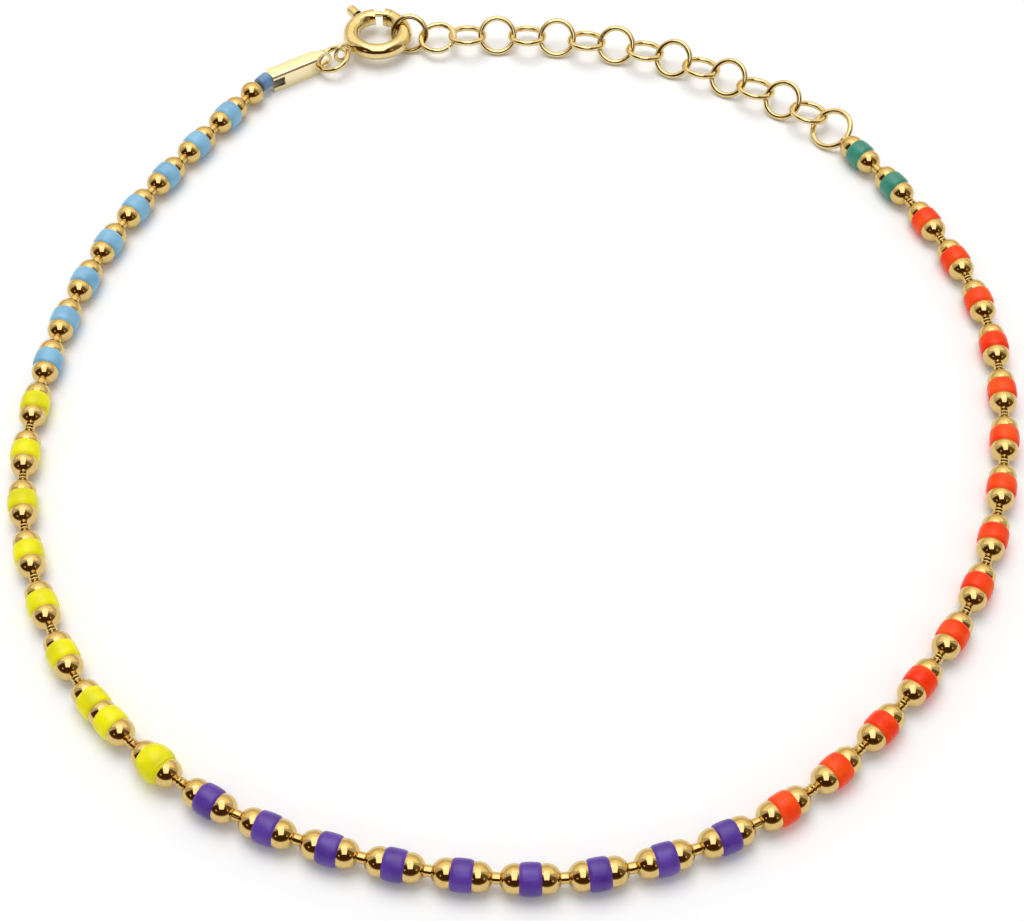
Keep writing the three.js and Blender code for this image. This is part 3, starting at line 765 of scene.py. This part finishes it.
bm = bmesh.new()
half = TAG_D / 2 - TAG_WALL
top = tag_h - TAG_WALL
section = [bm.verts.new((0, y, z)) for y, z in ((-half, 0), (-half, top), (half, top), (half, 0))]
line = [bm.edges.new(pair) for pair in zip(section, section[1:])]
grown = bmesh.ops.extrude_edge_only(bm, edges=line)["geom"]
bmesh.ops.translate(bm, vec=(fold_l, 0, 0),
                    verts=[part for part in grown if isinstance(part, bmesh.types.BMVert)])
folds = [e for e in bm.edges if abs(e.verts[0].co.y - e.verts[1].co.y) < TOUCHING
         and all(abs(v.co.z - top) < TOUCHING for v in e.verts)]
bmesh.ops.bevel(bm, geom=folds, offset=FOLD_ROUND, offset_type="OFFSET", segments=5, profile=0.5,
                affect="EDGES", material=-1)
notch_top = tag_h - NOTCH_LINTEL
bmesh.ops.bisect_plane(bm, geom=everything(bm), plane_co=(NOTCH_L, 0, 0), plane_no=(1, 0, 0))
for z in (NOTCH_SILL, notch_top):
    bmesh.ops.bisect_plane(bm, geom=everything(bm), plane_co=(0, 0, z), plane_no=(0, 0, 1))
notch = [f for f in bm.faces if f.calc_center_median().x < NOTCH_L
         and f.calc_center_median().y < -half + CLOSE
         and NOTCH_SILL < f.calc_center_median().z < notch_top]
bmesh.ops.delete(bm, geom=notch, context="FACES")
bmesh.ops.recalc_face_normals(bm, faces=bm.faces)
bmesh.ops.solidify(bm, geom=bm.faces[:], thickness=-TAG_WALL)
for vert in bm.verts:
    vert.co.y = max(-TAG_D / 2, min(TAG_D / 2, vert.co.y))
bmesh.ops.recalc_face_normals(bm, faces=bm.faces)
print("strip z:", round(min(v.co.z for v in bm.verts), 3), round(max(v.co.z for v in bm.verts), 3),
      "y:", round(min(v.co.y for v in bm.verts), 3), round(max(v.co.y for v in bm.verts), 3))

# %% Eyelet
EYELET_PLATE = 0.5
EYELET_SIDES = 48
LIP_ROUND = 0.06
NOSE_SPREAD = TAG_D / EYELET_PLATE - 1
outer = bmesh.ops.create_circle(bm, segments=EYELET_SIDES, radius=tag_h / 2,
                                matrix=Matrix.Translation((eyelet_at, -EYELET_PLATE / 2, tag_h / 2))
                                @ Matrix.Rotation(math.pi / 2, 4, "X"))["verts"]
inner = bmesh.ops.create_circle(bm, segments=EYELET_SIDES, radius=eyelet_r,
                                matrix=Matrix.Translation((eyelet_at, -EYELET_PLATE / 2, tag_h / 2))
                                @ Matrix.Rotation(math.pi / 2, 4, "X"))["verts"]
rings = list({e for v in outer + inner for e in v.link_edges})
for vert in outer:
    x, z = vert.co.x - eyelet_at, vert.co.z - tag_h / 2
    if x < -TOUCHING:
        reach = min(1 / max(abs(x), 1e-6), 1 / max(abs(z), 1e-6)) * tag_h / 2
        vert.co.x, vert.co.z = eyelet_at + x * reach, tag_h / 2 + z * reach
disc = bmesh.ops.bridge_loops(bm, edges=rings)["faces"]
grown = bmesh.ops.extrude_face_region(bm, geom=disc)["geom"]
bmesh.ops.translate(bm, vec=(0, EYELET_PLATE, 0),
                    verts=[part for part in grown if isinstance(part, bmesh.types.BMVert)])
plate = [part for part in grown if isinstance(part, bmesh.types.BMVert)] + outer + inner
lips = [e for e in {e for v in plate for e in v.link_edges}
        if abs(e.verts[0].co.y - e.verts[1].co.y) < TOUCHING and len(e.link_faces) == 2
        and e.calc_face_angle() > math.radians(60)]
bmesh.ops.bevel(bm, geom=lips, offset=LIP_ROUND, offset_type="OFFSET", segments=3, profile=0.5,
                affect="EDGES", material=-1)
for vert in bm.verts:
    if fold_l - CLOSE < vert.co.x < eyelet_at and abs(vert.co.y) <= EYELET_PLATE / 2 + TOUCHING:
        share = (eyelet_at - vert.co.x) / (eyelet_at - fold_l)
        vert.co.y *= 1 + NOSE_SPREAD * share * share
bmesh.ops.recalc_face_normals(bm, faces=bm.faces)
tag = add_piece("folded_tag", bm, tag_gold, "end_tag", tag_place)
print("tag faces:", len(tag.data.polygons))

# %% [markdown]
# ## Spring ring clasp
# The clasp is a round tube bent into a ring, with a mouth that a sprung tongue closes. A knob on
# the tongue stands out through a slot, so that a fingernail can pull it back. An eye of wire is
# soldered to the ring, and a jump ring ties it to the tag. A short sleeve strengthens the end of
# the tube that the tongue closes on.

# %% Clasp place
clasp_centre = place_at(clasp_at, hooked_z).translation
to_eye = eyelet - clasp_centre
to_eye.z = 0.0
to_eye.normalize()
to_eye.rotate(Matrix.Rotation(CLASP_TURN, 3, "Z"))
clasp_place = oriented(to_eye, UP.cross(to_eye), UP, clasp_centre)
hinge = frame["joints"][0]
print("clasp centre:", [round(v, 3) for v in clasp_centre], "joint:", hinge.get("pos_m"))

# %% Tube and slot
MOUTH_AT, MOUTH_WIDTH = math.radians(-132), 0.75
KNOB_AT, KNOB_TRAVEL = math.radians(-92), math.radians(45)
KNOB_D, KNOB_REACH, STEM_D, SLOT_CLEARANCE = 0.8, 1.0, 0.4, 0.07
CLASP_WALL = 0.19
SLEEVE_D, SLEEVE_WALL, SLEEVE_SPAN = 1.3, 0.06, math.radians(13)
SLIDER_D, SLIDER_TAIL = 0.54, math.radians(14)
TONGUE_SOCKET = math.radians(5)
SLOT_INNER, SLOT_OUTER = 0.2, 1.2
TUBE_SIDES, TUBE_STEPS, SLEEVE_STEPS, SLOT_STEPS, TONGUE_STEPS = 28, 72, 8, 16, 18
mouth_half = MOUTH_WIDTH / 2 / clasp_r


def arc_bar(bm, diameter, start, end, steps, cap=True, out=0.0, lift=0.0):
    """Adds a bar along the clasp's circle, or beside it, between two angles from the eye."""
    made = bmesh.ops.create_circle(bm, cap_ends=False, segments=TUBE_SIDES, radius=diameter / 2,
                                   matrix=Matrix.Rotation(math.pi / 2, 4, "X"))["verts"]
    bmesh.ops.translate(bm, vec=(clasp_r + out, 0, lift), verts=made)
    bmesh.ops.rotate(bm, verts=made, cent=(0, 0, 0), matrix=Matrix.Rotation(start, 3, "Z"))
    first = list({e for v in made for e in v.link_edges})
    spun = bmesh.ops.spin(bm, geom=made + first, cent=(0, 0, 0), axis=(0, 0, 1),
                          angle=end - start, steps=steps)
    last = [part for part in spun["geom_last"] if isinstance(part, bmesh.types.BMEdge)]
    if cap:
        bmesh.ops.contextual_create(bm, geom=first)
        bmesh.ops.contextual_create(bm, geom=last)
    return first, last


bm = bmesh.new()
tube_start = MOUTH_AT + mouth_half
tube_end = MOUTH_AT - mouth_half + 2 * math.pi
outer_ends = arc_bar(bm, CLASP_TUBE_D, tube_start, tube_end, TUBE_STEPS, cap=False)
inner_ends = arc_bar(bm, CLASP_TUBE_D - 2 * CLASP_WALL, tube_start, tube_end, TUBE_STEPS, cap=False)
for outer_end, inner_end in zip(outer_ends, inner_ends):
    bmesh.ops.bridge_loops(bm, edges=outer_end + inner_end)
bmesh.ops.recalc_face_normals(bm, faces=bm.faces)

slot_width = STEM_D + 2 * SLOT_CLEARANCE
slot_edge = slot_width / 2 / clasp_r
cutter = bmesh.new()
corners = [cutter.verts.new((clasp_r + x, 0, z)) for x, z in (
    (SLOT_INNER, -slot_width / 2), (SLOT_OUTER, -slot_width / 2),
    (SLOT_OUTER, slot_width / 2), (SLOT_INNER, slot_width / 2))]
edges = [cutter.edges.new((corners[i], corners[(i + 1) % 4])) for i in range(4)]
bmesh.ops.rotate(cutter, verts=corners, cent=(0, 0, 0),
                 matrix=Matrix.Rotation(KNOB_AT - slot_edge, 3, "Z"))
spun = bmesh.ops.spin(cutter, geom=corners + edges, cent=(0, 0, 0), axis=(0, 0, 1),
                      angle=KNOB_TRAVEL + 2 * slot_edge, steps=SLOT_STEPS)
bmesh.ops.contextual_create(cutter, geom=edges)
bmesh.ops.contextual_create(cutter, geom=[part for part in spun["geom_last"]
                                          if isinstance(part, bmesh.types.BMEdge)])
bmesh.ops.recalc_face_normals(cutter, faces=cutter.faces)


def cut_away(bm, cutter):
    """The first mesh less the second one, both used up."""
    scratch = []
    for label, source in (("body", bm), ("cutter", cutter)):
        mesh = bpy.data.meshes.new(label)
        source.to_mesh(mesh)
        source.free()
        scratch.append(bpy.data.objects.new(label, mesh))
        bpy.context.scene.collection.objects.link(scratch[-1])
    cut = scratch[0].modifiers.new("cut", "BOOLEAN")
    cut.operation = "DIFFERENCE"
    cut.solver = "MANIFOLD"
    cut.object = scratch[1]
    bpy.context.view_layer.update()
    shown = scratch[0].evaluated_get(bpy.context.evaluated_depsgraph_get())
    result = bmesh.new()
    result.from_mesh(shown.to_mesh())
    for piece in scratch:
        bpy.data.objects.remove(piece)
    return result


print("tube volume:", round(bm.calc_volume(signed=True), 3), "slot cutter:",
      round(cutter.calc_volume(signed=True), 3), "mm3")
bm = cut_away(bm, cutter)
print("after cut:", len(bm.faces))
sleeve_end = MOUTH_AT - mouth_half
outer_ends = arc_bar(bm, SLEEVE_D, sleeve_end - SLEEVE_SPAN, sleeve_end, SLEEVE_STEPS, cap=False)
inner_ends = arc_bar(bm, SLEEVE_D - 2 * SLEEVE_WALL, sleeve_end - SLEEVE_SPAN, sleeve_end,
                     SLEEVE_STEPS, cap=False)
for outer_end, inner_end in zip(outer_ends, inner_ends):
    bmesh.ops.bridge_loops(bm, edges=outer_end + inner_end)
bmesh.ops.recalc_face_normals(bm, faces=bm.faces)
wire_ring(bm, eye_r, EYE_WIRE,
          Matrix.Translation((eye_reach, 0, 0)) @ Matrix.Rotation(math.pi / 2, 4, "X"),
          math.pi, SOLDERED_SEAM)
clasp = add_piece("spring_ring_tube", bm, wire_gold, "spring_ring", clasp_place)
print("clasp faces:", len(clasp.data.polygons))

# %% Trigger
KNOB_ROUND = 0.16
TONGUE_LOOK_D, TONGUE_OUT, TONGUE_LIFT = 0.4, 0.1, 0.14
bm = bmesh.new()
arc_bar(bm, TONGUE_LOOK_D, MOUTH_AT - mouth_half - TONGUE_SOCKET, KNOB_AT, TONGUE_STEPS,
        out=TONGUE_OUT, lift=TONGUE_LIFT)
arc_bar(bm, SLIDER_D, MOUTH_AT + mouth_half, KNOB_AT + SLIDER_TAIL, TONGUE_STEPS)


def radial_bar(bm, diameter, angle, inner, outer, rounding):
    """Adds a round bar that stands out from the clasp's centre."""
    made = bmesh.ops.create_cone(bm, cap_ends=True, segments=TUBE_SIDES, radius1=diameter / 2,
                                 radius2=diameter / 2, depth=outer - inner)["verts"]
    edges = list({e for v in made for e in v.link_edges})
    if rounding:
        tips = [e for e in edges if all(v.co.z > 0 for v in e.verts)]
        bmesh.ops.bevel(bm, geom=tips, offset=rounding, offset_type="OFFSET", segments=5,
                        profile=0.5, affect="EDGES", material=-1)
        made = [v for v in bm.verts if v.co.length < outer - inner
                and abs(v.co.x) <= diameter and abs(v.co.y) <= diameter]
    place = (Matrix.Rotation(angle, 4, "Z") @ Matrix.Translation(((inner + outer) / 2, 0, 0))
             @ Matrix.Rotation(math.pi / 2, 4, "Y"))
    bmesh.ops.transform(bm, matrix=place, verts=made)


radial_bar(bm, STEM_D, KNOB_AT, clasp_r, CLASP_OD / 2 + KNOB_REACH / 2, 0)
radial_bar(bm, KNOB_D, KNOB_AT, CLASP_OD / 2 + SLOT_CLEARANCE, CLASP_OD / 2 + KNOB_REACH,
           KNOB_ROUND)
bmesh.ops.recalc_face_normals(bm, faces=bm.faces)
add_piece("trigger_knob", bm, wire_gold, "spring_ring_trigger", clasp_place,
          body="trigger")

# %% Jump ring
eye = clasp_place @ Vector((eye_reach, 0, 0))
jump_along = (eyelet - eye).normalized()
jump_across = UP.cross(jump_along).normalized()
jump_centre = eye + (eyelet - eye) / 2 + jump_across * JUMP_RING_SAG
jump_place = oriented(jump_along, jump_across, jump_along.cross(jump_across), jump_centre)
bm = bmesh.new()
wire_ring(bm, jump_r, JUMP_RING_WIRE, jump_place, JUMP_SEAM_AT)
bmesh.ops.recalc_face_normals(bm, faces=bm.faces)
add_piece("jump_ring_wire", bm, wire_gold, "jump_ring")
